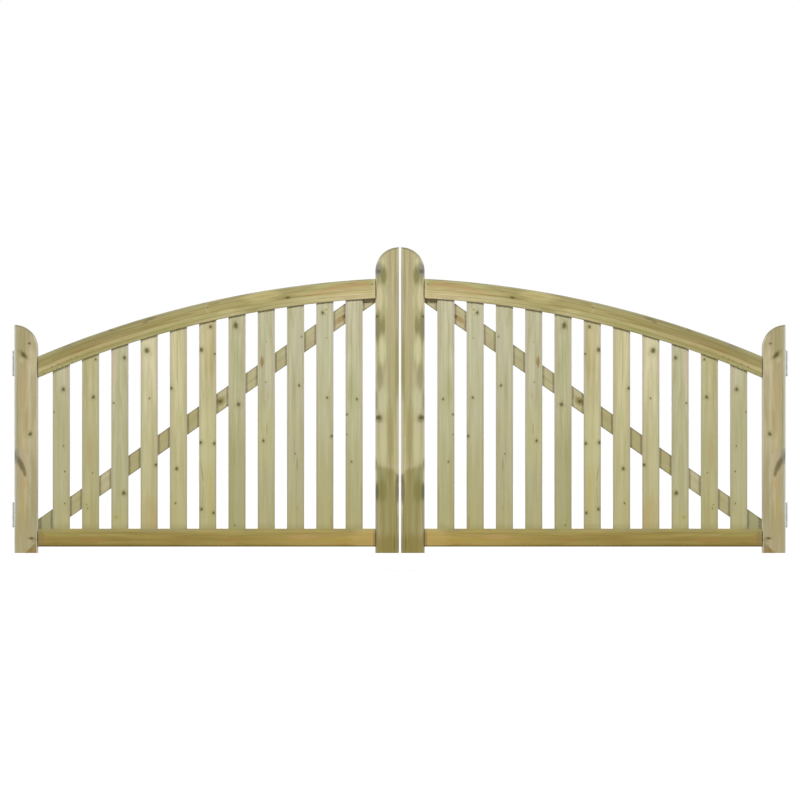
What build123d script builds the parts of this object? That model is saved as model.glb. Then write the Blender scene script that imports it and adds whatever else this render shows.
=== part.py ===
"""A pair of wooden driveway gates with an arched top, hung on lift-off butt hinges.

Each leaf is a mortised frame of a short hanging stile, a tall meeting stile, an arched top rail and a bottom rail.
Pickets stand in housings in the two rails, and a diagonal brace runs behind them from the heel to the head.
The right leaf is the left one mirrored about the middle of the gate.

Lengths are in millimetres. X runs along the gate, Y from front to back and Z up. The origin is on the left post's
face, at the middle of the lower hinge's height and of the frame's thickness.
"""

import os
from math import asin, atan2, cos, degrees, hypot, sin, sqrt

from build123d import *

os.makedirs("parts", exist_ok=True)

# Leaf frame
leaf_width = 1500
meeting_gap = 8
frame_thickness = 45
stile_width = 92
meeting_stile_height = 1193
hanging_stile_height = 890
stile_arris = 7

# Arched top rail, which meets each stile a little below its rounded top
arch_radius = 3900
arched_rail_depth = 76
arch_shoulder = 31
rail_arris = 5
under_arris = 2

# Bottom rail, held up off the stiles' feet, with its front bevelled to shed rain
bottom_rail_depth = 70
bottom_rail_lift = 25
bevel_height = 12
bevel_lip = 2

# Joinery
tenon_thickness = 15
tenon_shoulder = 12
mortise_back_wall = 30
tenon_end_gap = 2
housing_depth = 15
joint_play = 0.3

# Pickets
picket_count = 11
picket_width = 67
picket_thickness = 16
picket_setback = 10
picket_arris = 5
picket_head_gap = 2
hanging_side_gap = 57
meeting_side_gap = 49.5

# Brace, of what thickness is left behind the pickets
brace_width = 65
brace_foot_rise = 37
brace_head_drop = 17
brace_arris = 3

# Lift-off butt hinges, with the pin fixed in the post's half
lower_hinge_height = 150
upper_hinge_drop = 150
hinge_height = 100
flap_thickness = 3
flap_gap = 2
flap_reach = 36
flap_corner_radius = 5
knuckle_radius = 7
knuckle_standoff = 2
knuckle_play = 0.5
pin_radius = 4
pin_play = 0.08
pin_recess = 2
screw_hole_radius = 2.75
screw_sink_radius = 4.6
screw_sink_angle = 90
screw_spacing_y = 16
screw_spacing_z = 64

# Depths, from the front of the frame to the back
front_y = -frame_thickness / 2
back_y = frame_thickness / 2
picket_back_y = front_y + picket_setback + picket_thickness
brace_thickness = back_y - picket_back_y
tenon_back_y = tenon_thickness / 2

# Places along the left leaf
stile_outer_x = 2 * flap_thickness + flap_gap
hanging_inner_x = stile_outer_x + stile_width
meeting_edge_x = stile_outer_x + leaf_width
meeting_inner_x = meeting_edge_x - stile_width
gate_middle = Plane.YZ.offset(meeting_edge_x + meeting_gap / 2)
tenon_length = stile_width - mortise_back_wall - tenon_end_gap
mortise_depth = tenon_length + tenon_end_gap
first_picket_x = hanging_inner_x + hanging_side_gap
last_picket_x = meeting_inner_x - meeting_side_gap - picket_width
picket_pitch = (last_picket_x - first_picket_x) / (picket_count - 1)
picket_places = [first_picket_x + i * picket_pitch for i in range(picket_count)]

# Heights, with the lower hinge's middle at zero
foot_z = -lower_hinge_height
hanging_top_z = foot_z + hanging_stile_height
meeting_top_z = foot_z + meeting_stile_height
bottom_rail_z = foot_z + bottom_rail_lift
bottom_rail_top_z = bottom_rail_z + bottom_rail_depth
picket_foot_z = bottom_rail_top_z - housing_depth
upper_hinge_z = hanging_top_z - upper_hinge_drop

# The arch's centre, from the two points where the rail's top meets the stiles
arch_start_z = hanging_top_z - stile_width - arch_shoulder
arch_end_z = meeting_top_z - stile_width - arch_shoulder
arch_run = meeting_inner_x - hanging_inner_x
arch_rise = arch_end_z - arch_start_z
arch_chord = hypot(arch_run, arch_rise)
arch_centre_drop = sqrt(arch_radius**2 - (arch_chord / 2) ** 2)
arch_centre_x = (hanging_inner_x + meeting_inner_x) / 2 + arch_centre_drop * arch_rise / arch_chord
arch_centre_z = (arch_start_z + arch_end_z) / 2 - arch_centre_drop * arch_run / arch_chord
under_radius = arch_radius - arched_rail_depth
housing_radius = under_radius + housing_depth


def elevation(y):
    """The leaf's elevation at depth y. What is extruded from it comes towards the front."""
    return Plane.XZ.offset(-y)


def arch_point(x, radius):
    """The point above x on a circle about the arch's centre."""
    return (x, arch_centre_z + sqrt(radius**2 - (x - arch_centre_x) ** 2))


def draw_arc(start_x, end_x, radius):
    """An arc about the arch's centre from one x to another."""
    middle_x = (start_x + end_x) / 2
    ThreePointArc(arch_point(start_x, radius), arch_point(middle_x, radius), arch_point(end_x, radius))


def draw_arched_band(start_x, end_x, trim):
    """The arched rail's outline between two uprights, with its top and underside trimmed."""
    top_radius = arch_radius - trim
    low_radius = under_radius + trim
    with BuildLine() as outline:
        draw_arc(start_x, end_x, top_radius)
        Line(arch_point(end_x, top_radius), arch_point(end_x, low_radius))
        draw_arc(end_x, start_x, low_radius)
        Line(arch_point(start_x, low_radius), arch_point(start_x, top_radius))
    make_face(outline.edges())


def draw_bottom_band(start_x, end_x, trim):
    """The bottom rail's outline between two uprights, with its top and underside trimmed."""
    with Locations((start_x, bottom_rail_z + trim)):
        Rectangle(end_x - start_x, bottom_rail_depth - 2 * trim, align=(Align.MIN, Align.MIN))


def draw_under_arch(start_x, end_x, low_z, head_radius):
    """An upright outline with a level foot, and a head that follows the arch."""
    with BuildLine() as outline:
        Polyline(
            arch_point(start_x, head_radius),
            (start_x, low_z),
            (end_x, low_z),
            arch_point(end_x, head_radius),
        )
        draw_arc(end_x, start_x, head_radius)
    make_face(outline.edges())


def cut_mortises(mouth_x, end_x):
    """Cuts the mortises for both rails' tenons into a stile."""
    start_x, stop_x = sorted((mouth_x, end_x))
    with BuildSketch(elevation(tenon_back_y + joint_play)) as mouths:
        draw_arched_band(start_x, stop_x, tenon_shoulder - joint_play)
        draw_bottom_band(start_x, stop_x, tenon_shoulder - joint_play)
    extrude(mouths.sketch, amount=tenon_thickness + 2 * joint_play, mode=Mode.SUBTRACT)


def add_tenons(draw_band):
    """Adds a tenon at each end of a rail, drawn as the rail is but with shoulders."""
    with BuildSketch(elevation(tenon_back_y)) as cheeks:
        draw_band(hanging_inner_x - tenon_length, hanging_inner_x, tenon_shoulder)
        draw_band(meeting_inner_x, meeting_inner_x + tenon_length, tenon_shoulder)
    extrude(cheeks.sketch, amount=tenon_thickness)


def cut_housings():
    """Cuts the row of housings that the pickets' ends stand in."""
    with BuildSketch(elevation(picket_back_y + joint_play)) as housings:
        for x in picket_places:
            draw_under_arch(x - joint_play, x + picket_width + joint_play, picket_foot_z, housing_radius)
    extrude(housings.sketch, amount=picket_thickness + 2 * joint_play, mode=Mode.SUBTRACT)


def write(piece, name):
    """Labels a piece and writes it to its own file."""
    piece.label = name
    export_step(piece, f"parts/{name}.step")


def write_pair(piece, name):
    """Writes the left leaf's piece, and its twin on the right leaf."""
    with BuildPart() as twin:
        mirror(piece, about=gate_middle)
    write(piece, f"left_{name}")
    write(twin.part, f"right_{name}")


# Hanging stile, rounded over its whole width towards the leaf
with BuildPart() as hanging_stile:
    with BuildSketch(elevation(back_y)):
        with BuildLine():
            Polyline(
                (stile_outer_x, hanging_top_z),
                (stile_outer_x, foot_z),
                (hanging_inner_x, foot_z),
                (hanging_inner_x, hanging_top_z - stile_width),
            )
            CenterArc((stile_outer_x, hanging_top_z - stile_width), stile_width, 0, 90)
        make_face()
    extrude(amount=frame_thickness)
    outlines = hanging_stile.faces().filter_by(Axis.Y).edges()
    chamfer(outlines.filter_by(Axis.X, reverse=True), stile_arris)
    cut_mortises(hanging_inner_x, hanging_inner_x - mortise_depth)
write_pair(hanging_stile.part, "hanging_stile")

# Meeting stile, rounded the other way, so that the closed pair ends in a half round
with BuildPart() as meeting_stile:
    with BuildSketch(elevation(back_y)):
        with BuildLine():
            Polyline(
                (meeting_edge_x, meeting_top_z),
                (meeting_edge_x, foot_z),
                (meeting_inner_x, foot_z),
                (meeting_inner_x, meeting_top_z - stile_width),
            )
            CenterArc((meeting_edge_x, meeting_top_z - stile_width), stile_width, 90, 90)
        make_face()
    extrude(amount=frame_thickness)
    outlines = meeting_stile.faces().filter_by(Axis.Y).edges()
    chamfer(outlines.filter_by(Axis.X, reverse=True), stile_arris)
    cut_mortises(meeting_inner_x, meeting_inner_x + mortise_depth)
write_pair(meeting_stile.part, "meeting_stile")

# Arched top rail, with its upper long edges taken off and its lower ones only eased
with BuildPart() as arched_rail:
    with BuildSketch(elevation(back_y)):
        draw_arched_band(hanging_inner_x, meeting_inner_x, 0)
    extrude(amount=frame_thickness)
    arcs = arched_rail.faces().filter_by(Axis.Y).edges().filter_by(GeomType.CIRCLE).sort_by(SortBy.RADIUS)
    chamfer(arcs[2:], rail_arris)
    arcs = arched_rail.faces().filter_by(Axis.Y).edges().filter_by(GeomType.CIRCLE).sort_by(SortBy.RADIUS)
    chamfer(arcs[:2], under_arris)
    cut_housings()
    add_tenons(draw_arched_band)
write_pair(arched_rail.part, "arched_rail")

# Bottom rail, bevelled down from a lip in front of the pickets and with its other long edges taken off
with BuildPart() as bottom_rail:
    with BuildSketch(elevation(back_y)):
        draw_bottom_band(hanging_inner_x, meeting_inner_x, 0)
    extrude(amount=frame_thickness)
    long_edges = bottom_rail.edges().filter_by(Axis.X)
    bevel_edge = long_edges.group_by(Axis.Z)[-1].sort_by(Axis.Y)[0]
    top_face = bottom_rail.faces().sort_by(Axis.Z)[-1]
    chamfer(bevel_edge, picket_setback - bevel_lip, bevel_height, reference=top_face)
    chamfer(long_edges.group_by(Axis.Z)[0] + long_edges.group_by(Axis.Z)[-1].sort_by(Axis.Y)[-1:], rail_arris)
    cut_housings()
    add_tenons(draw_bottom_band)
write_pair(bottom_rail.part, "bottom_rail")

# Brace, from the heel of the hanging stile up to the head of the meeting stile, cut to fit both corners
brace_heel = (hanging_inner_x, bottom_rail_top_z + brace_foot_rise)
brace_head = (meeting_inner_x, arch_point(meeting_inner_x, under_radius)[1] - brace_head_drop)
brace_run = brace_head[0] - brace_heel[0]
brace_rise = brace_head[1] - brace_heel[1]
brace_slope = atan2(brace_rise, brace_run) + asin(brace_width / hypot(brace_run, brace_rise))
brace_middle = ((brace_heel[0] + brace_head[0]) / 2, (brace_heel[1] + brace_head[1]) / 2)
brace_blank_length = leaf_width + meeting_stile_height
with BuildPart() as brace:
    with BuildSketch(elevation(back_y)):
        draw_under_arch(hanging_inner_x, meeting_inner_x, bottom_rail_top_z, under_radius)
        with Locations(brace_middle):
            Rectangle(brace_blank_length, brace_width, rotation=degrees(brace_slope), mode=Mode.INTERSECT)
    extrude(amount=brace_thickness)
    brace_line = Axis((0, 0, 0), (cos(brace_slope), 0, sin(brace_slope)))
    chamfer(brace.edges().filter_by(brace_line), brace_arris)
write_pair(brace.part, "brace")

# Pickets, in step from the hanging stile to the meeting stile, each cut to the arch at its head
for number, x in enumerate(picket_places, start=1):
    with BuildPart() as picket:
        with BuildSketch(elevation(picket_back_y)):
            draw_under_arch(x, x + picket_width, picket_foot_z, housing_radius - picket_head_gap)
        extrude(amount=picket_thickness)
        chamfer(picket.edges().filter_by(Axis.Z), picket_arris)
    write_pair(picket.part, f"picket_{number:02d}")

# Hinges, whose flaps lie in the gap between stile and post with their knuckles behind it
hinge_axis_x = flap_thickness + flap_gap / 2
hinge_axis_y = back_y + knuckle_standoff + knuckle_radius
flap_front_y = back_y - flap_reach
flap_back_y = hinge_axis_y - knuckle_radius - knuckle_play
half_height = hinge_height / 2
knuckle_height = half_height - knuckle_play / 2


def draw_flap(hinge_z, tongue_low_z):
    """A flap's outline, with a tongue that runs back to its own knuckle only."""
    with Locations((flap_front_y, hinge_z)):
        Rectangle(flap_back_y - flap_front_y, hinge_height, align=(Align.MIN, Align.CENTER))
    front_corners = [(flap_front_y, hinge_z + half_height), (flap_front_y, hinge_z - half_height)]
    fillet([v for v in flap_outline.vertices() if (v.X, v.Y) in front_corners], flap_corner_radius)
    with Locations((flap_back_y, tongue_low_z)):
        Rectangle(hinge_axis_y - flap_back_y, knuckle_height, align=(Align.MIN, Align.MIN))


for place, hinge_z in (("lower", 0), ("upper", upper_hinge_z)):
    upper_knuckle_z = hinge_z + half_height - knuckle_height
    lower_knuckle_z = hinge_z - half_height

    # The post's half, with the lower knuckle, the pin and the screw holes
    with BuildPart() as post_flap:
        with BuildSketch(Plane.YZ) as flap_outline:
            draw_flap(hinge_z, lower_knuckle_z)
        extrude(amount=flap_thickness)
        with BuildSketch(Plane.XY.offset(lower_knuckle_z)):
            with Locations((hinge_axis_x, hinge_axis_y)):
                Circle(knuckle_radius)
        extrude(amount=knuckle_height)
        with BuildSketch(Plane.XY.offset(lower_knuckle_z)):
            with Locations((hinge_axis_x, hinge_axis_y)):
                Circle(pin_radius)
        extrude(amount=hinge_height - pin_recess)
        with Locations(Plane((flap_thickness, 0, hinge_z), x_dir=(0, 1, 0), z_dir=(1, 0, 0))):
            with GridLocations(screw_spacing_y, screw_spacing_z, 2, 2):
                CounterSinkHole(screw_hole_radius, screw_sink_radius, flap_thickness, screw_sink_angle)
    write_pair(post_flap.part, f"{place}_post_flap")

    # The gate's half, with the upper knuckle, which drops over the pin
    with BuildPart() as gate_flap:
        with BuildSketch(Plane.YZ.offset(flap_thickness + flap_gap)) as flap_outline:
            draw_flap(hinge_z, upper_knuckle_z)
        extrude(amount=flap_thickness)
        with BuildSketch(Plane.XY.offset(upper_knuckle_z)):
            with Locations((hinge_axis_x, hinge_axis_y)):
                Circle(knuckle_radius)
        extrude(amount=knuckle_height)
        with BuildSketch(Plane.XY.offset(upper_knuckle_z)):
            with Locations((hinge_axis_x, hinge_axis_y)):
                Circle(pin_radius + pin_play)
        extrude(amount=knuckle_height, mode=Mode.SUBTRACT)
    write_pair(gate_flap.part, f"{place}_gate_flap")
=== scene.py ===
from math import asin, atan2, cos, hypot, pi, radians, sin, sqrt, tan

import bpy
from mathutils import Matrix, Vector


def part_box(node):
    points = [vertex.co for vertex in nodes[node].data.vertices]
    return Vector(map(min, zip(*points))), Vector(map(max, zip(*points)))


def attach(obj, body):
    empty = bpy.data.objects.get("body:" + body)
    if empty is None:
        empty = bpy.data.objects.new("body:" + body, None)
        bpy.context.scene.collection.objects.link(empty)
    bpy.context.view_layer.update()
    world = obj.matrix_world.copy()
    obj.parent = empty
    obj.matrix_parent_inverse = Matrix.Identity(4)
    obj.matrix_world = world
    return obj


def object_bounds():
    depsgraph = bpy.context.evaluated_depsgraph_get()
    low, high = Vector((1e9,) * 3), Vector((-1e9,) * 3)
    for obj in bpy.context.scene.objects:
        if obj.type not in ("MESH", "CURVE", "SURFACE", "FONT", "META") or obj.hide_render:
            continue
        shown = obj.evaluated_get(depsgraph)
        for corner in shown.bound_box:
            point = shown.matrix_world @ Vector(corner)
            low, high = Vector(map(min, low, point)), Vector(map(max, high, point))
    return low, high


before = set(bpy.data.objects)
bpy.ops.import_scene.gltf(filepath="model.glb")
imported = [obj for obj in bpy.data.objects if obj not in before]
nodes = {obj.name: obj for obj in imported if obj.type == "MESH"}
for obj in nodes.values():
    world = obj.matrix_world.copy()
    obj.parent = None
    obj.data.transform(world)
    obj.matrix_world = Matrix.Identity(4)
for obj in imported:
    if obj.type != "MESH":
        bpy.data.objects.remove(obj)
cad_low, cad_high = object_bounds()


# Hanging stiles. The short outer uprights that carry the hinges, planed from 92 by 45 mm softwood. Pressure
# treatment left them straw coloured with a green cast. Each is mortised for the rails, and its top is sawn
# to a quarter round and sanded.
mm = 0.001
gate_middle_x = (cad_low.x + cad_high.x) / 2


class Wire:
    """A socket of a material's nodes. Sums on it add Math nodes."""

    def __init__(self, tree, socket=None):
        self.tree = tree
        self.socket = socket

    def node(self, kind, settings, sockets, output=0):
        """Adds a node of any kind, sets it up, and feeds its sockets with values or wires."""
        made = self.tree.nodes.new(kind)
        for key, value in settings.items():
            if key == "stops":
                ramp = made.color_ramp.elements
                while len(ramp) < len(value):
                    ramp.new(1)
                for stop, (position, colour) in zip(ramp, value):
                    stop.position = position
                    stop.color = colour
            else:
                setattr(made, key, value)
        for key, value in sockets.items():
            if isinstance(value, Wire):
                self.tree.links.new(value.socket, made.inputs[key])
            else:
                made.inputs[key].default_value = value
        return Wire(self.tree, made.outputs[output])

    def beside(self, output):
        """Another output of the same node."""
        return Wire(self.tree, self.socket.node.outputs[output])

    def sum(self, operation, *values):
        return self.node("ShaderNodeMath", {"operation": operation}, dict(enumerate(values)))

    def __add__(self, other):
        return self.sum("ADD", self, other)

    def __radd__(self, other):
        return self.sum("ADD", other, self)

    def __sub__(self, other):
        return self.sum("SUBTRACT", self, other)

    def __rsub__(self, other):
        return self.sum("SUBTRACT", other, self)

    def __mul__(self, other):
        return self.sum("MULTIPLY", self, other)

    def __rmul__(self, other):
        return self.sum("MULTIPLY", other, self)

    def __truediv__(self, other):
        return self.sum("DIVIDE", self, other)

    def __rtruediv__(self, other):
        return self.sum("DIVIDE", other, self)

    def __abs__(self):
        return self.sum("ABSOLUTE", self)

    def root(self):
        return self.sum("SQRT", self)

    def step(self, low, high):
        """Rises smoothly from 0 at low to 1 at high."""
        settings = {"interpolation_type": "SMOOTHSTEP"}
        return self.node("ShaderNodeMapRange", settings, {"Value": self, "From Min": low, "From Max": high})

    def tinted(self, share, colour, blend="MIX"):
        """This colour with another blended in by a share."""
        settings = {"data_type": "RGBA", "blend_type": blend}
        return self.node("ShaderNodeMix", settings, {0: share, 6: self, 7: colour}, 2)

    def noise(self, waves, shift, detail=2):
        """Noise over this place, with so many waves to the metre each way."""
        sockets = {0: self, 1: waves, 2: shift}
        place = self.node("ShaderNodeVectorMath", {"operation": "MULTIPLY_ADD"}, sockets)
        return self.node("ShaderNodeTexNoise", {}, {"Vector": place, "Scale": 1, "Detail": detail})


def paint(red, green, blue, alpha=1):
    """A colour as it is named on screen, as the linear colour that a shader takes."""
    linear = []
    for level in (red, green, blue):
        share = level / 255
        linear.append(share / 12.92 if share <= 0.04045 else ((share + 0.055) / 1.055) ** 2.4)
    return (*linear, alpha)


def knot(up, across, radius, stretch=1.2, lean=0):
    """A branch that the saw cut through, in millimetres: its place and size, its stretch and its lean."""
    return up * mm, across * mm, radius * mm, stretch, lean


def stain(up, across, half_length, half_width, tone, strength, lean=0):
    """A patch of another tone, in millimetres, with ends that feather out along the grain."""
    return up * mm, across * mm, half_length * mm, half_width * mm, tone, strength, lean


def timber(
    name,
    lay,
    end_axis,
    tones,
    pith,
    knots=(),
    stains=(),
    seed=0,
    layers=None,
    half_width=None,
    pale_share=0.2,
):
    """Planed softwood: rings about a pith, broad streaks and fine fibre along the grain, knots and stains.

    lay turns a place on the gate into lengths along, across and through the board. layers paints what only
    this board has. A board with a half width is greyer along its two edges. pale_share is the strength of the
    pale streaks.
    """
    ring_width = 4.2 * mm
    ring_sway = 50 * mm
    ring_drift = 60 * mm
    ring_unevenness = 1.6
    knot_swell = 7 * mm
    knot_swell_core = 0.6
    knot_ramp_widths = 5
    teardrop_share = 0.1
    arris_slant = 0.7
    feather_share = 0.9
    grain_depth = 0.6 * mm
    grain_strength = 0.35
    material = bpy.data.materials.new(name)
    material.use_nodes = True
    tree = material.node_tree
    shader = tree.nodes["Principled BSDF"]

    # Both leaves are matched boards, so one pattern runs outwards from the middle of the gate
    place = Wire(tree).node("ShaderNodeTexCoord", {}, {}, "Object")
    x = place.node("ShaderNodeSeparateXYZ", {}, {0: place}, "X")
    outward = gate_middle_x - abs(x - gate_middle_x)
    along, across, through = lay(outward, x.beside("Y"), x.beside("Z"))
    board = place.node("ShaderNodeCombineXYZ", {}, {"X": along, "Y": across, "Z": through})

    # Each board takes its own stretch of the noise
    shift = (seed * 7.3, seed * 3.1, seed * 1.7)
    other_shift = (seed * 2.7, seed * 5.9, 3.3)

    # Knots, as the distance to the nearest one in knot widths, narrower above than below
    wobble = board.noise((90, 90, 90), shift)
    nearest = None
    for knot_along, knot_across, radius, stretch, lean in knots:
        up = along - knot_along
        long_share = up / (radius * stretch)
        wide_share = (across - knot_across - up * lean) / radius * (1 + long_share * teardrop_share)
        apart = long_share * long_share + wide_share * wide_share
        nearest = apart if nearest is None else nearest.sum("MINIMUM", nearest, apart)

    # Growth rings, which wander along the board and swell round a knot
    sway = board.noise((1.7, 3, 3), shift, 1)
    drift = board.noise((0.9, 2, 2), other_shift, 1)
    ring_across = across - pith[0] + (sway - 0.5) * ring_sway
    ring_through = through - pith[1] + (drift - 0.5) * ring_drift
    from_pith = (ring_across * ring_across + ring_through * ring_through).root()
    if nearest is not None:
        from_pith = from_pith + knot_swell / (knot_swell_core + nearest)
    uneven = board.noise((2, 55, 55), shift, 1)
    ring = place.sum("FRACT", from_pith / ring_width + uneven * ring_unevenness)
    late = ring.step(0.3, 0.92) * (1 - ring.step(0.93, 1))

    # Colour: two tones in broad streaks, finer streaks, late wood, fibre and the treatment's blotches
    broad = board.noise((1.1, 24, 24), shift, 2).step(0.38, 0.62)
    two_tones = {0: broad, 6: paint(*tones[0]), 7: paint(*tones[1])}
    colour = place.node("ShaderNodeMix", {"data_type": "RGBA"}, two_tones, 2)
    if layers is not None:
        colour = layers(colour, along, across, board)
    streak = board.noise((2.2, 62, 62), other_shift, 3)
    colour = colour.tinted(streak.step(0.5, 0.68) * 0.65, paint(226, 222, 200), "MULTIPLY")
    colour = colour.tinted((1 - streak.step(0.32, 0.5)) * pale_share, paint(230, 218, 178))
    colour = colour.tinted(late * 0.22, paint(206, 197, 164), "MULTIPLY")
    fibre = board.noise((22, 900, 900), shift, 2)
    colour = colour.tinted(fibre.step(0.45, 0.75) * 0.3, paint(214, 206, 184), "MULTIPLY")
    hue = board.noise((1.6, 48, 48), (seed * 4.3, seed * 1.1, 2.2), 2)
    colour = colour.tinted(hue.step(0.52, 0.7) * 0.5, paint(255, 240, 242), "MULTIPLY")
    colour = colour.tinted((1 - hue.step(0.3, 0.48)) * 0.45, paint(242, 253, 238), "MULTIPLY")
    blotch = board.noise((5, 16, 16), (seed * 1.9, 4.1, seed * 6.1), 2)
    colour = colour.tinted(blotch.step(0.5, 0.7) * 0.4, paint(228, 234, 206), "MULTIPLY")

    # Greyer along the two edges. The planed arrises get a grey tint, and those that face sideways a paler
    # one:
    # partly the planed wood's own tone, partly painted light that lifts the shade the lamps leave on the
    # chamfers.
    # What faces up is painted a darker grey-green, which is painted shade against the lamps' light from above
    if half_width is not None:
        edge_fade = board.noise((4, 30, 30), other_shift, 2) * 14 * mm
        off_edge = half_width - abs(across) - edge_fade
        colour = colour.tinted((1 - off_edge.step(-4 * mm, 5 * mm)) * 0.5, paint(176, 169, 150))
    normal = place.beside("Normal")
    normal_x = place.node("ShaderNodeSeparateXYZ", {}, {0: normal}, "X")
    normal_z = normal_x.beside("Z")
    off_arris = abs(abs(normal_x.beside("Y")) - arris_slant)
    arris = (1 - off_arris.step(0.05, 0.12)) * normal_z.step(-0.6, -0.4)
    # Painted light on the chamfers: a grey tint, paler still where they face sideways, none where they face
    # down
    colour = colour.tinted(arris * 0.55, paint(186, 180, 160))
    colour = colour.tinted(arris * abs(normal_x).step(0.5, 0.65) * 0.65, paint(226, 218, 192))
    # Painted shade: a darker grey-green on what faces up, where the lamps from above would light it brighter
    top_painted_shade = board.noise((9, 14, 14), shift, 2).step(0.35, 0.65) * 0.5 + 0.2
    colour = colour.tinted(normal_z.step(0.25, 0.5) * top_painted_shade, paint(138, 132, 94))

    # Stains, with ends that feather out along the grain
    feather = (board.noise((7, 150, 150), shift, 2) - 0.5) * feather_share
    for stain_along, stain_across, reach_along, reach_across, tone, strength, lean in stains:
        up = along - stain_along
        long_share = up / reach_along
        wide_share = (across - stain_across - up * lean) / reach_across
        spread = (long_share * long_share + wide_share * wide_share).root() + feather
        colour = colour.tinted((1 - spread.step(0.4, 1.1)) * strength, paint(*tone))

    # The knots' own colour, dark at the core, with a thin halo
    if nearest is not None:
        knot_reach = nearest.root() * (0.5 + wobble) / knot_ramp_widths
        stops = [
            (0, paint(66, 58, 24, 0.95)),
            (0.12, paint(100, 91, 52, 0.9)),
            (0.2, paint(112, 104, 62, 0.8)),
            (0.28, paint(138, 130, 82, 0.5)),
            (0.42, paint(154, 148, 100, 0.25)),
            (0.75, paint(162, 156, 110, 0)),
        ]
        knot_colour = place.node("ShaderNodeValToRGB", {"stops": stops}, {0: knot_reach})
        colour = colour.tinted(knot_colour.beside("Alpha"), knot_colour)

    # End grain drinks more of the treatment
    sockets = {0: normal, 1: end_axis}
    facing = place.node("ShaderNodeVectorMath", {"operation": "DOT_PRODUCT"}, sockets, "Value")
    end_grain = abs(facing).step(0.55, 0.95)
    colour = colour.tinted(end_grain * 0.8, paint(196, 184, 156), "MULTIPLY")

    # Late wood and fibre stand a little proud of the planed face
    height = late * 0.5 + fibre * 0.5
    sockets = {"Strength": grain_strength, "Distance": grain_depth, "Height": height}
    bump = place.node("ShaderNodeBump", {}, sockets)
    tree.links.new(colour.socket, shader.inputs["Base Color"])
    tree.links.new((0.62 + fibre * 0.25).socket, shader.inputs["Roughness"])
    tree.links.new(bump.socket, shader.inputs["Normal"])
    shader.inputs["Specular IOR Level"].default_value = 0.25
    return material


def dress(piece, material):
    """Puts a material on a piece of both leaves."""
    for side in ("left", "right"):
        nodes[f"{side}_{piece}"].material_slots[0].material = material


hanging_low, hanging_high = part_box("left_hanging_stile")
foot_z = hanging_low.z
stile_width = hanging_high.x - hanging_low.x


def upright_lay(low, high):
    """Up an upright from the gate's foot, and across it from its middle."""
    middle_x = (low.x + high.x) / 2
    return lambda outward, y, z: (z - foot_z, outward - middle_x, y)


corner_slope_share = 0.96


def brown_corner(colour, along, across, board):
    """A brown corner at the foot, on a line across the grain, with an olive rim."""
    over = along - across * corner_slope_share
    corner = 1 - over.step(2 * mm, 8 * mm)
    rim = corner * over.step(-12 * mm, mm)
    return colour.tinted(corner * 0.85, paint(146, 108, 56)).tinted(rim * 0.55, paint(124, 112, 62))


upward = (0, 0, 1)
hanging_stile_timber = timber(
    "hanging_stile_timber",
    upright_lay(hanging_low, hanging_high),
    upward,
    [(180, 169, 134), (189, 177, 142)],
    pith=(30 * mm, 90 * mm),
    knots=[
        knot(817, 12, 4.5, 0.8),
        knot(773, -10, 7.5, 1.5, -0.5),
        knot(464, 15, 6, 1, 0.3),
        knot(58, 20, 7, 0.5),
    ],
    stains=[
        stain(850, -20, 40, 22, (160, 152, 112), 0.12),
        stain(748, 24, 64, 24, (206, 193, 154), 0.5),
        stain(440, -8, 44, 10, (206, 195, 148), 0.5),
        stain(60, -14, 150, 44, (156, 144, 98), 0.5),
        stain(787, -24, 9, 14, (142, 132, 92), 0.6),
        stain(754, -16, 17, 15, (200, 192, 152), 0.55),
        stain(650, -24, 120, 11, (184, 160, 122), 0.5),
        stain(230, 31, 250, 19, (154, 147, 106), 0.6),
        stain(376, -36, 42, 13, (142, 140, 120), 0.8),
        stain(344, -20, 46, 15, (112, 103, 72), 0.95, -0.43),
        stain(308, -6, 15, 6, (126, 102, 62), 0.8),
        stain(270, -8, 26, 9, (190, 150, 95), 0.55),
        stain(590, -7, 230, 11, (176, 160, 98), 0.5),
        stain(200, -14, 130, 6, (178, 162, 98), 0.5),
        stain(186, -15, 70, 8, (172, 158, 84), 0.6),
        stain(52, 33, 12, 14, (136, 120, 80), 0.55),
        # Painted shade: dark lines down the inner edge where the bottom rail and the arched rail meet the
        # stile
        stain(58, 45, 48, 4, (92, 78, 45), 0.85),
        stain(722, 45, 50, 4, (104, 90, 54), 0.7),
    ],
    seed=1,
    layers=brown_corner,
    half_width=stile_width / 2,
)
dress("hanging_stile", hanging_stile_timber)


# Meeting stiles. The tall uprights that stand side by side when the gate is shut, of the same 92 by 45 mm
# stock. They show olive streaks, grey knots run down the edge beside the pickets, and the foot stood deepest
# in the treatment.
meeting_low, meeting_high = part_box("left_meeting_stile")
soaked_height = 336 * mm
soaked_slope_share = 0.5
soaked_raggedness = 30 * mm
tide_below = 16 * mm
tide_above = 8 * mm


def soaked_foot(colour, along, across, board):
    """The olive foot, below a slanting tide line."""
    ragged = board.noise((14, 40, 40), (0, 0, 0), 2) - 0.5
    level = along + across * soaked_slope_share + ragged * soaked_raggedness
    soaked = 1 - level.step(soaked_height - tide_below, soaked_height + tide_above)
    return colour.tinted(soaked * 0.85, paint(149, 140, 84))


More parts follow.
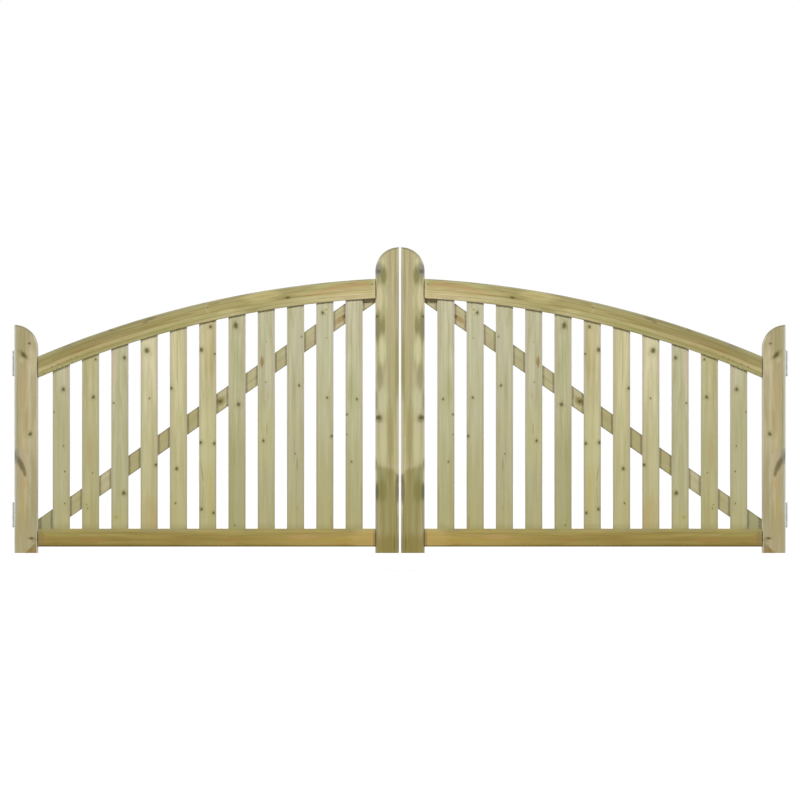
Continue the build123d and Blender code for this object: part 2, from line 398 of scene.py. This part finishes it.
meeting_stile_timber = timber(
    "meeting_stile_timber",
    upright_lay(meeting_low, meeting_high),
    upward,
    [(181, 174, 131), (195, 185, 146)],
    pith=(-20 * mm, 80 * mm),
    knots=[
        knot(923, -39, 3.5),
        knot(529, -33, 8, 0.9),
    ],
    stains=[
        stain(1139, -17, 15, 9, (206, 199, 162), 0.65),
        stain(1103, -33, 36, 22, (146, 140, 128), 0.9),
        stain(1099, -33, 12, 11, (100, 98, 90), 0.8),
        stain(1083, -15, 46, 17, (124, 119, 64), 0.8),
        stain(998, -29, 66, 15, (216, 206, 162), 0.7),
        stain(983, -3, 42, 5, (206, 198, 158), 0.5),
        stain(880, -39, 66, 17, (124, 122, 94), 0.75),
        stain(872, -24, 38, 17, (140, 134, 92), 0.65),
        stain(890, -16, 44, 12, (138, 132, 78), 0.75),
        stain(792, -20, 74, 20, (210, 207, 162), 0.75),
        stain(684, -28, 66, 17, (146, 142, 108), 0.65),
        stain(600, -16, 66, 20, (200, 199, 156), 0.6),
        stain(590, -42, 66, 8, (142, 143, 112), 0.6),
        stain(420, -17, 96, 22, (197, 193, 150), 0.6),
        stain(960, 43, 240, 6, (168, 156, 132), 0.5),
        stain(730, 37, 190, 10, (150, 143, 84), 0.75),
        stain(460, 15, 140, 8, (154, 146, 88), 0.5),
        stain(440, 30, 130, 3, (202, 192, 148), 0.5),
        stain(524, -31, 18, 18, (110, 111, 84), 0.6),
        stain(302, -27, 32, 17, (146, 148, 104), 0.6),
        stain(344, -44, 30, 8, (136, 134, 102), 0.65),
        stain(290, 41, 24, 9, (128, 120, 82), 0.75),
        stain(246, -20, 56, 24, (124, 117, 62), 0.6),
        stain(140, -42, 150, 6, (146, 146, 126), 0.65),
        stain(240, -40, 46, 10, (96, 94, 74), 0.75),
        stain(22, 0, 64, 90, (134, 117, 52), 0.6),
        stain(40, 27, 40, 4, (110, 102, 52), 0.6),
        stain(238, 39, 62, 11, (118, 106, 76), 0.75),
        stain(90, 39, 120, 8, (132, 120, 70), 0.5),
        # Painted shade: dark lines down the inner edge where the arched rail and the bottom rail meet the
        # stile
        stain(1026, -45, 48, 4, (118, 102, 56), 0.85),
        stain(60, -45, 48, 4, (96, 84, 46), 0.8),
    ],
    seed=2,
    layers=soaked_foot,
    half_width=stile_width / 2,
)
dress("meeting_stile", meeting_stile_timber)


# Arched rails. Glued up from four thin softwood layers bent round a former, with finger joints where a layer
# was too short, then planed to 76 by 45 mm with the edges taken off. The two top layers are darker boards
# than those below.
arch_shoulder = 31 * mm
arch_top_radius = 3900 * mm
arch_depth = 76 * mm
arch_start = Vector((hanging_high.x, 0, hanging_high.z - stile_width - arch_shoulder))
arch_end = Vector((meeting_low.x, 0, meeting_high.z - stile_width - arch_shoulder))
arch_chord = arch_end - arch_start
arch_centre_drop = sqrt(arch_top_radius**2 - (arch_chord.length / 2) ** 2)
arch_down = Vector((arch_chord.z, 0, -arch_chord.x)).normalized()
arch_centre = (arch_start + arch_end) / 2 + arch_down * arch_centre_drop


def arched_lay(outward, y, z):
    """Along the arc from above the arch's centre, and down through its layers."""
    run = outward - arch_centre.x
    rise = z - arch_centre.z
    radius = (run * run + rise * rise).root()
    return run.sum("ARCTAN2", run, rise) * arch_top_radius, arch_top_radius - radius, y


def arched_layers(colour, along, across, board):
    """Each layer is a board of its own, paler towards the gate's middle, with dark lines of glue between."""
    edge_shares = (0, 0.28, 0.57, 0.79, 1)
    blur_share = 0.02
    wander_share = 0.06
    layer_strength = 0.82
    outer_end = -1350 * mm
    middle_start = -850 * mm
    middle_end = -650 * mm
    inner_start = -250 * mm
    grey_top_end = -350 * mm
    nicks_full = -1440 * mm
    nicks_end = -1360 * mm
    outer_tones = [(156, 147, 102), (156, 143, 93), (186, 175, 122), (170, 162, 110)]
    middle_tones = [(170, 161, 110), (171, 159, 104), (188, 178, 126), (178, 169, 118)]
    inner_tones = [(192, 186, 132), (200, 183, 131), (226, 215, 166), (225, 214, 169)]
    depth_share = across / arch_depth + (board.noise((3, 40, 40), (0, 0, 0), 2) - 0.5) * wander_share
    ramps = []
    for tones in (outer_tones, middle_tones, inner_tones):
        stops = []
        for index, tone in enumerate(tones):
            stops.append((edge_shares[index] + blur_share, paint(*tone)))
            stops.append((edge_shares[index + 1] - blur_share, paint(*tone)))
        ramps.append(across.node("ShaderNodeValToRGB", {"stops": stops}, {0: depth_share}))
    outer, middle, inner = ramps
    toned = outer.tinted(along.step(outer_end, middle_start), middle)
    toned = toned.tinted(along.step(middle_end, inner_start), inner)
    toned = colour.tinted(layer_strength, toned)
    top_fade = 1 - (across + board.noise((6, 0, 0), (0, 0, 0), 2) * 8 * mm).step(5 * mm, 15 * mm)
    top_strength = 0.55 - along.step(middle_end, grey_top_end) * 0.4
    toned = toned.tinted(top_fade * top_strength, paint(142, 138, 106))

    for edge_share in edge_shares[1:-1]:
        off_line = abs(across - edge_share * arch_depth)
        toned = toned.tinted((1 - off_line.step(0.3 * mm, 1.4 * mm)) * 0.6, paint(118, 104, 62))

    # Two rows of short nicks near the hanging stile, where the plane tore the grain
    for nick_share, nick_shift in ((0.76, 0), (0.93, 5)):
        in_row = 1 - abs(across - nick_share * arch_depth).step(0.8 * mm, 2.4 * mm)
        nicks = board.noise((75, 0, 0), (nick_shift, 0, 0), 1).step(0.5, 0.6)
        nicks = nicks * (1 - along.step(nicks_full, nicks_end))
        toned = toned.tinted(in_row * nicks * 0.8, paint(112, 100, 60))

    # Finger joints: a pale zigzag of glue across one or two layers
    finger_length = 12 * mm
    finger_pitch = 7 * mm
    for joint_along, top_share, foot_share in ((-880 * mm, 0.06, 0.57), (-786 * mm, 0.79, 1)):
        zigzag = abs(across.sum("FRACT", across / finger_pitch) - 0.5) * (2 * finger_length)
        off_line = abs(along - joint_along - zigzag)
        line = 1 - off_line.step(0.8 * mm, 2.2 * mm)
        in_layer = across.step(top_share * arch_depth, top_share * arch_depth + mm)
        in_layer = in_layer * (1 - across.step(foot_share * arch_depth - mm, foot_share * arch_depth))
        toned = toned.tinted(line * in_layer * 0.8, paint(210, 204, 154))
    return toned


arched_rail_timber = timber(
    "arched_rail_timber",
    arched_lay,
    (1, 0, 0),
    [(166, 152, 98), (184, 170, 116)],
    pith=(40 * mm, 120 * mm),
    knots=[knot(-554, 40, 3.6, 2.8), knot(-872, 22, 1.8), knot(-217, 20, 1.6)],
    stains=[
        stain(-1440, 9, 26, 9, (138, 130, 106), 0.6),
        stain(-1258, 4, 14, 5, (112, 110, 84), 0.6),
        stain(-1100, 9, 30, 6, (118, 116, 80), 0.75),
        stain(-845, 13, 34, 6, (138, 130, 78), 0.55),
        stain(-960, 30, 40, 5, (144, 132, 82), 0.5),
        stain(-1300, 22, 180, 13, (148, 135, 86), 0.5),
        stain(-1385, 40, 90, 5, (142, 118, 64), 0.5),
        stain(-655, 18, 90, 22, (202, 190, 134), 0.7),
        stain(-650, 20, 60, 6, (176, 150, 90), 0.5),
        stain(-700, 66, 44, 9, (140, 130, 80), 0.55),
        stain(-655, 40, 70, 7, (196, 186, 130), 0.55),
        stain(-800, 52, 50, 9, (200, 190, 134), 0.5),
        stain(-455, 24, 40, 10, (162, 162, 98), 0.55),
        stain(-1122, 16, 14, 5, (126, 112, 70), 0.7),
        stain(-350, 22, 66, 10, (192, 156, 108), 0.6),
        stain(-266, 18, 50, 9, (188, 150, 104), 0.65),
        stain(-300, 13, 30, 2.5, (160, 120, 76), 0.6),
        stain(-305, 36, 40, 7, (176, 158, 112), 0.55),
        stain(-305, 68, 40, 9, (188, 174, 130), 0.55),
        stain(-412, 13, 56, 9, (192, 186, 132), 0.6),
        stain(-420, 34, 60, 8, (194, 164, 116), 0.45),
        stain(-240, 28, 24, 9, (190, 162, 118), 0.45),
        stain(-209, 40, 13, 60, (206, 196, 144), 0.4),
    ],
    seed=3,
    layers=arched_layers,
)
dress("arched_rail", arched_rail_timber)


# Bottom rails. 70 by 45 mm softwood between the stiles' feet, tenoned at each end, with a bevel along the
# front that sheds rain. A browner, resin-rich board than the rest, more golden towards the meeting stile.
rail_low, rail_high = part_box("left_bottom_rail")
rail_middle_z = (rail_low.z + rail_high.z) / 2
golden_start = 700 * mm
golden_full = 1300 * mm


def golden_end(colour, along, across, board):
    """The board's golden end, and its upper edge, which the rain has paled."""
    golden = colour.tinted(along.step(golden_start, golden_full) * 0.7, paint(174, 149, 78))
    return golden.tinted(across.step(-2 * mm, 14 * mm) * 0.6, paint(172, 158, 95))


bottom_rail_timber = timber(
    "bottom_rail_timber",
    lambda outward, y, z: (outward, z - rail_middle_z, y),
    (1, 0, 0),
    [(151, 132, 68), (162, 141, 75)],
    pith=(-20 * mm, 70 * mm),
    stains=[
        stain(300, -34, 440, 14, (122, 102, 46), 0.55),
        stain(1390, 0, 90, 60, (194, 170, 102), 0.5),
        stain(230, -10, 130, 16, (148, 128, 66), 0.55),
        stain(310, -6, 60, 12, (162, 124, 72), 0.5),
        stain(520, 4, 90, 10, (158, 140, 70), 0.5),
        stain(640, -12, 120, 12, (158, 128, 66), 0.5),
        stain(860, -8, 80, 14, (164, 132, 70), 0.5),
        stain(1130, 2, 70, 12, (188, 152, 98), 0.5),
        stain(1250, -8, 110, 7, (168, 152, 66), 0.6),
        # Painted shade: a thin dark band at the rail's end, in the joint against the meeting stile
        stain(1412, -10, 6, 60, (140, 108, 58), 0.75),
        stain(110, -4, 18, 60, (132, 112, 70), 0.5),
    ],
    seed=4,
    layers=golden_end,
    pale_share=0.05,
)
dress("bottom_rail", bottom_rail_timber)


# Pickets. Planed 67 by 16 mm boards with eased edges, housed in both rails with gaps of about 47 mm between
# them. Each is cut from a different length of board, so the tone runs from grey-green to straw and the knots
# fall anywhere.
picket_knots = [
    [knot(639, 8, 5.5), knot(550, -28, 2), knot(418, 9, 2.2), knot(318, 14, 2.1), knot(193, 13, 2.2)],
    [knot(756, 20, 3), knot(608, 11, 5), knot(313, 8, 1.8), knot(189, -15, 1.6), knot(174, -11, 1.9)],
    [knot(762, 18, 4.6), knot(585, -24, 2.4), knot(235, 15, 6)],
    [knot(790, -9, 7), knot(604, 1, 2.4), knot(344, 26, 4.6)],
    [knot(643, -28, 4.3), knot(329, -7, 4.8), knot(194, -12, 2.6)],
    [
        knot(883, 11, 4.3),
        knot(793, -25, 5.4),
        knot(777, 28, 2.6),
        knot(431, -27, 4.8),
        knot(428, 26, 4.3),
        knot(171, -24, 4.5),
        knot(157, 23, 3.8),
    ],
    [knot(888, -5, 6.6, 1.7), knot(580, 6, 5.5), knot(108, -9, 2.4)],
    [knot(824, 0, 1.3, 0.6), knot(742, -13, 1.3), knot(667, -2, 1.6), knot(438, -11, 4.2)],
    [knot(844, 23, 2.1), knot(654, 14, 3.4), knot(387, -1, 1.8)],
    [knot(938, -8, 4.4), knot(949, 6, 1.2), knot(840, 7, 1.4), knot(606, 9, 3.2), knot(456, 27, 3.5)],
    [knot(601, 10, 3.2), knot(541, -28, 2.5), knot(463, -28, 1.6), knot(356, -10, 2.7)],
]
picket_stains = [
    [stain(135, 21, 30, 4, (196, 190, 120), 0.5)],
    [stain(400, -8, 84, 8, (184, 156, 126), 0.65), stain(640, 26, 160, 6, (176, 172, 122), 0.4)],
    [
        stain(720, -18, 120, 11, (196, 183, 152), 0.4),
        stain(128, -8, 62, 24, (176, 173, 110), 0.4),
        stain(140, -14, 9, 13, (160, 154, 62), 0.7),
    ],
    [
        stain(730, -25, 60, 7, (202, 182, 156), 0.5),
        stain(770, 9, 26, 8, (206, 200, 160), 0.5),
        stain(120, 2, 130, 36, (180, 158, 106), 0.5),
        stain(125, 26, 70, 5, (186, 158, 104), 0.35),
    ],
    [stain(700, 8, 160, 6, (208, 200, 148), 0.5), stain(560, -12, 120, 6, (206, 198, 150), 0.4)],
    [
        stain(800, 2, 120, 9, (200, 193, 144), 0.4),
        stain(450, 0, 160, 60, (204, 200, 152), 0.4),
        stain(250, 3, 120, 10, (186, 180, 100), 0.6),
        stain(313, -22, 44, 2.5, (138, 132, 88), 0.7, -0.14),
        stain(215, -20, 50, 2, (146, 138, 92), 0.5, 0.1),
    ],
    [
        stain(230, 0, 330, 60, (160, 160, 114), 0.4),
        stain(380, -10, 80, 4, (150, 146, 106), 0.5),
        stain(890, -3, 26, 16, (196, 190, 150), 0.5),
    ],
    [
        stain(746, -17, 28, 10, (150, 120, 76), 0.85),
        stain(450, 4, 160, 60, (198, 195, 142), 0.35),
        stain(484, 2, 26, 3, (148, 142, 98), 0.6),
        stain(244, -8, 38, 8, (180, 160, 112), 0.3),
    ],
    [
        stain(560, 8, 200, 7, (196, 190, 150), 0.4),
        stain(348, 6, 34, 4, (142, 130, 84), 0.6),
        stain(400, -6, 60, 5, (166, 152, 130), 0.5),
        stain(175, 7, 11, 3, (146, 132, 88), 0.6),
    ],
    [
        stain(948, 4, 16, 13, (206, 201, 160), 0.6),
        stain(180, 0, 270, 120, (166, 159, 98), 0.28),
        stain(951, 4, 5, 8, (166, 158, 116), 0.6),
        stain(119, 24, 38, 5, (160, 130, 84), 0.55),
    ],
    [
        stain(180, 0, 270, 120, (166, 159, 98), 0.22),
        stain(205, 29, 90, 4, (176, 148, 120), 0.45),
        stain(840, 4, 140, 8, (208, 198, 160), 0.5),
    ],
]
green_tone = [(192, 189, 158), (202, 197, 166)]
pale_green_tone = [(199, 196, 165), (207, 203, 172)]
grey_tone = [(187, 184, 148), (198, 193, 158)]
straw_tone = [(203, 195, 153), (215, 207, 166)]
warm_tone = [(192, 185, 143), (203, 195, 154)]
pale_tone = [(214, 205, 168), (222, 214, 178)]
picket_tones = [green_tone, warm_tone, pale_green_tone, pale_tone, straw_tone, straw_tone]
picket_tones += [grey_tone, green_tone, green_tone, pale_green_tone, pale_green_tone]
# Darker towards the pickets' feet, most just above the bottom rail: partly treatment soaked deeper into the
# foot, partly painted shade where less light reaches low down
foot_soak_and_painted_shade = [
    stain(40, 0, 760, 400, (166, 161, 110), 0.5),
    stain(90, 0, 160, 200, (165, 152, 80), 0.2),
    stain(92, 0, 26, 120, (156, 150, 98), 0.5),
]

# Each board is sawn at another place round the heart of its log
pith_swing = 20 * mm
pith_turn = 2.1
pith_depth = 50 * mm
pith_depth_swing = 30 * mm
pith_depth_turn = 1.3
first_picket_seed = 6
picket_boxes = []
for index, (tones, knots, stains) in enumerate(zip(picket_tones, picket_knots, picket_stains)):
    piece = f"picket_{index + 1:02d}"
    low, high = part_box(f"left_{piece}")
    picket_boxes.append((low, high))
    pith_across = pith_swing * cos(index * pith_turn)
    pith_through = pith_depth + pith_depth_swing * sin(index * pith_depth_turn)
    picket_timber = timber(
        f"{piece}_timber",
        upright_lay(low, high),
        upward,
        tones,
        pith=(pith_across, pith_through),
        knots=knots,
        stains=foot_soak_and_painted_shade + stains,
        seed=first_picket_seed + index,
        half_width=(high.x - low.x) / 2,
    )
    dress(piece, picket_timber)


# Braces. Straight 65 by 19 mm boards let in behind the pickets, flush with the back of the frame, that run up
# from the hinge side to the meeting stile and keep the leaf from sagging.
brace_width = 65 * mm
brace_foot_rise = 37 * mm
brace_head_drop = 17 * mm
arch_under_radius = arch_top_radius - arch_depth
brace_back_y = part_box("left_brace")[1].y
brace_heel = Vector((hanging_high.x, 0, rail_high.z + brace_foot_rise))
under_arch_z = arch_centre.z + sqrt(arch_under_radius**2 - (meeting_low.x - arch_centre.x) ** 2)
brace_head = Vector((meeting_low.x, 0, under_arch_z - brace_head_drop))
brace_reach = brace_head - brace_heel
brace_slope = atan2(brace_reach.z, brace_reach.x) + asin(brace_width / hypot(brace_reach.x, brace_reach.z))


def brace_lay(outward, y, z):
    """Along the brace's top edge from its heel, and up square to it."""
    run = outward - brace_heel.x
    rise = z - brace_heel.z
    along = run * cos(brace_slope) + rise * sin(brace_slope)
    across = rise * cos(brace_slope) - run * sin(brace_slope)
    return along, across, y


brace_timber = timber(
    "brace_timber",
    brace_lay,
    (cos(brace_slope), 0, sin(brace_slope)),
    [(188, 181, 142), (198, 190, 153)],
    pith=(20 * mm, 60 * mm),
    knots=[knot(846, -32, 5.5), knot(340, -50, 4)],
    stains=[
        stain(600, -32, 300, 90, (158, 149, 96), 0.55),
        stain(325, -30, 80, 70, (192, 185, 150), 0.45),
        # Painted shade: a dark line all along the brace's top edge
        stain(700, -1, 2400, 4, (122, 115, 82), 0.55),
        stain(846, -32, 25, 21, (128, 108, 54), 0.75),
        stain(840, -7, 12, 6, (112, 96, 54), 0.7),
        stain(1416, -40, 30, 13, (158, 130, 78), 0.7),
        stain(1432, -38, 10, 6, (110, 92, 54), 0.7),
        stain(400, -52, 16, 8, (166, 160, 80), 0.6),
        stain(40, -34, 90, 70, (150, 148, 110), 0.75),
        stain(170, -30, 110, 50, (162, 156, 108), 0.5),
        stain(972, -12, 50, 18, (170, 161, 112), 0.45),
        stain(1107, -30, 64, 50, (166, 160, 118), 0.55),
        stain(1250, -52, 50, 20, (162, 157, 114), 0.55),
    ],
    seed=5,
)
dress("brace", brace_timber)


# Brace nails. Round wire nails driven through the back of the brace into the pickets, two where they cross.
# Their flat heads sit a little proud of the board.
def pick_faces(piece, wanted):
    """Goes into edit mode with only the wanted faces selected."""
    bpy.ops.object.mode_set(mode="EDIT")
    bpy.ops.mesh.select_mode(type="FACE")
    bpy.ops.mesh.select_all(action="DESELECT")
    bpy.ops.object.mode_set(mode="OBJECT")
    for face in piece.data.polygons:
        face.select = wanted(face)
    bpy.ops.object.mode_set(mode="EDIT")


def set_out(pattern, name, places):
    """Copies a piece to each place, and joins the copies."""
    bpy.ops.object.select_all(action="DESELECT")
    for place in places:
        copy = bpy.data.objects.new(name, pattern.data.copy())
        copy.data.transform(Matrix.Translation(place))
        bpy.context.scene.collection.objects.link(copy)
        copy.select_set(True)
        bpy.context.view_layer.objects.active = copy
    bpy.ops.object.join()
    joined = bpy.context.object
    joined.name = name
    return joined


def mirrored(places):
    """The same places on the right leaf."""
    return [Vector((2 * gate_middle_x - place.x, place.y, place.z)) for place in places]


def zinc(name, dull, bright):
    """Zinc plate with a faint bloom, and fine scratches from the press."""
    material = bpy.data.materials.new(name)
    material.use_nodes = True
    tree = material.node_tree
    shader = tree.nodes["Principled BSDF"]
    place = Wire(tree).node("ShaderNodeTexCoord", {}, {}, "Object")
    bloom = place.noise((60, 60, 60), (0, 0, 0), 4)
    scratch = place.noise((300, 300, 2500), (0, 0, 0), 2)
    two_tones = {0: bloom, 6: paint(*dull), 7: paint(*bright)}
    colour = place.node("ShaderNodeMix", {"data_type": "RGBA"}, two_tones, 2)
    tree.links.new(colour.socket, shader.inputs["Base Color"])
    tree.links.new((0.32 + bloom * 0.2 + scratch * 0.1).socket, shader.inputs["Roughness"])
    shader.inputs["Metallic"].default_value = 0.9
    return material


nail_radius = 3.5 * mm
nail_rise = 0.9 * mm
nail_sides = 20
nail_rim_share = 0.25
nail_crown_share = 0.3
nail_dip_rim_share = 0.3
nail_dip_share = 0.15
nail_spread = Vector((15 * mm, 0, -13 * mm))
bpy.ops.object.select_all(action="DESELECT")
bpy.ops.mesh.primitive_cylinder_add(
    vertices=nail_sides,
    radius=nail_radius,
    depth=2 * nail_rise,
    location=(0, 0, 0),
    rotation=(-pi / 2, 0, 0),
)
nail = bpy.context.object
bpy.ops.object.transform_apply(location=False, rotation=True, scale=False)
pick_faces(nail, lambda face: face.normal.y > 0.9)
bpy.ops.mesh.inset(thickness=nail_rim_share * nail_radius, depth=nail_crown_share * nail_rise)
bpy.ops.mesh.inset(thickness=nail_dip_rim_share * nail_radius, depth=-nail_dip_share * nail_rise)
bpy.ops.object.mode_set(mode="OBJECT")

nail_places = []
for low, high in picket_boxes:
    middle_x = (low.x + high.x) / 2
    brace_top_z = brace_heel.z + (middle_x - brace_heel.x) * tan(brace_slope)
    brace_middle_z = brace_top_z - brace_width / 2 / cos(brace_slope)
    crossing = Vector((middle_x, brace_back_y, brace_middle_z))
    nail_places += [crossing - nail_spread, crossing + nail_spread]
nail_zinc = zinc("nail_zinc", (150, 151, 150), (186, 186, 184))
nail.data.materials.append(nail_zinc)
for side, places in (("left", nail_places), ("right", mirrored(nail_places))):
    nails = set_out(nail, f"{side}_brace_nails", places)
    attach(nails, f"{side}_leaf")
bpy.data.objects.remove(nail)


# Hinges. Lift-off butt hinges bent from 3 mm steel strip and zinc plated. Their flaps lie in the gap between
# the stile and the post, and the pin is fixed in the post's half.
zinc_plate = zinc("zinc_plate", (196, 198, 200), (222, 222, 220))
for place in ("lower", "upper"):
    dress(f"{place}_gate_flap", zinc_plate)
    dress(f"{place}_post_flap", zinc_plate)


# Hinge screws. Four cross-headed screws fix each gate flap to the edge of its stile. Their low round heads
# clear the post's flap when the leaf is shut.
screw_radius = 4.5 * mm
screw_rise = 0.8 * mm
screw_sides = 24
screw_round_share = 0.45
screw_spacing_y = 16 * mm
screw_spacing_z = 64 * mm
slot_length = 4.6 * mm
slot_width = 1.1 * mm
slot_depth = 0.6 * mm
flap_thickness = 3 * mm
bpy.ops.object.select_all(action="DESELECT")
bpy.ops.mesh.primitive_cylinder_add(
    vertices=screw_sides,
    radius=screw_radius,
    depth=2 * screw_rise,
    location=(0, 0, 0),
    rotation=(0, -pi / 2, 0),
)
screw = bpy.context.object
bpy.ops.object.transform_apply(location=False, rotation=True, scale=False)
pick_faces(screw, lambda face: face.normal.x < -0.9)
bpy.ops.mesh.bevel(offset=screw_round_share * screw_rise, segments=2, affect="EDGES")
bpy.ops.object.mode_set(mode="OBJECT")
for slot_y, slot_z in ((slot_length, slot_width), (slot_width, slot_length)):
    slot_size = (2 * slot_depth, slot_y, slot_z)
    bpy.ops.object.select_all(action="DESELECT")
    bpy.ops.mesh.primitive_cube_add(size=1, location=(-screw_rise, 0, 0), scale=slot_size)
    cutter = bpy.context.object
    bpy.context.view_layer.objects.active = screw
    cut = screw.modifiers.new("cut", "BOOLEAN")
    cut.operation = "DIFFERENCE"
    cut.solver = "EXACT"
    cut.object = cutter
    bpy.ops.object.modifier_apply(modifier=cut.name)
    bpy.data.objects.remove(cutter)

screw_places = []
for hinge in ("lower", "upper"):
    low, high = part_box(f"left_{hinge}_post_flap")
    flap_low, flap_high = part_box(f"left_{hinge}_gate_flap")
    middle_z = (min(low.z, flap_low.z) + max(high.z, flap_high.z)) / 2
    for y in (-screw_spacing_y / 2, screw_spacing_y / 2):
        for z in (-screw_spacing_z / 2, screw_spacing_z / 2):
            screw_places.append(Vector((hanging_low.x - flap_thickness, y, middle_z + z)))
screw.data.materials.append(zinc_plate)
for side, places in (("left", screw_places), ("right", mirrored(screw_places))):
    if side == "right":
        screw.data.transform(Matrix.Rotation(pi, 4, "Z"))
    screws = set_out(screw, f"{side}_hinge_screws", places)
    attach(screws, f"{side}_leaf")
bpy.data.objects.remove(screw)


# Studio. A plain pale floor a little under the gate, which hangs clear of the drive. Far lamps shine from the
# front, left and right, and from behind, and a faint even light comes from all round.
floor_drop = 60 * mm
floor_size = 120
bpy.ops.object.select_all(action="DESELECT")
bpy.ops.mesh.primitive_grid_add(
    x_subdivisions=2,
    y_subdivisions=2,
    size=floor_size,
    location=(gate_middle_x, 0, foot_z - floor_drop),
)
floor = bpy.context.object
floor.name = "floor"


def sees_white(tree):
    """1 for rays that meet a white backdrop: the camera's own, and those that metal or glass sends on."""
    camera_ray = Wire(tree).node("ShaderNodeLightPath", {}, {}, "Is Camera Ray")
    glossy_ray = camera_ray.beside("Is Glossy Ray")
    glass_ray = camera_ray.beside("Is Transmission Ray")
    sent_on = camera_ray.sum("MAXIMUM", glossy_ray, glass_ray)
    return camera_ray.sum("MAXIMUM", camera_ray, sent_on)


floor_grey = 0.35
floor_glow = 1.3
floor_glow_share = 0.7
floor_paint = bpy.data.materials.new("floor_paint")
floor_paint.use_nodes = True
floor_tree = floor_paint.node_tree
floor_tree.nodes.clear()
start = Wire(floor_tree)
matt = start.node("ShaderNodeBsdfDiffuse", {}, {"Color": (floor_grey, floor_grey, floor_grey, 1)})
glow = start.node("ShaderNodeEmission", {}, {"Color": (1, 1, 1, 1), "Strength": floor_glow})
white_share = sees_white(floor_tree) * floor_glow_share
mixed = start.node("ShaderNodeMixShader", {}, {0: white_share, 1: matt, 2: glow})
output = floor_tree.nodes.new("ShaderNodeOutputMaterial")
floor_tree.links.new(mixed.socket, output.inputs["Surface"])
floor.data.materials.append(floor_paint)

world_level = 0.14
world = bpy.data.worlds.new("studio")
bpy.context.scene.world = world
world.use_nodes = True
world_tree = world.node_tree
background = world_tree.nodes["Background"]
background.inputs["Color"].default_value = (1, 1, 1, 1)
strength = world_level + sees_white(world_tree) * (1 - world_level)
world_tree.links.new(strength.socket, background.inputs["Strength"])

# Each lamp's turn round the gate and lift above the floor, in degrees, and its power
lamps = ((-36, 30, 1.62), (36, 30, 1.62), (180, 40, 2.6))
lamp_spread = radians(6)
lamp_height = 4
for turn, lift, power in lamps:
    bpy.ops.object.light_add(type="SUN", location=(gate_middle_x, 0, lamp_height))
    lamp = bpy.context.object
    lamp.data.angle = lamp_spread
    lamp.data.energy = power
    lamp.rotation_euler = (radians(90 - lift), 0, radians(turn))

# Camera, square on to the gate and far back, so that the uprights show no sides
camera_distance = 60
camera_rise = 0.597
view_width = 3.1206
sensor_width = 36
camera = bpy.data.objects.new("camera", bpy.data.cameras.new("camera"))
bpy.context.scene.collection.objects.link(camera)
camera.data.sensor_width = sensor_width
camera.data.lens = camera_distance * sensor_width / view_width
camera.data.clip_end = 2 * floor_size
camera.location = (gate_middle_x, cad_low.y - camera_distance, foot_z + camera_rise)
camera.rotation_euler = (pi / 2, 0, 0)
bpy.context.scene.camera = camera
bpy.context.scene.view_settings.view_transform = "Standard"
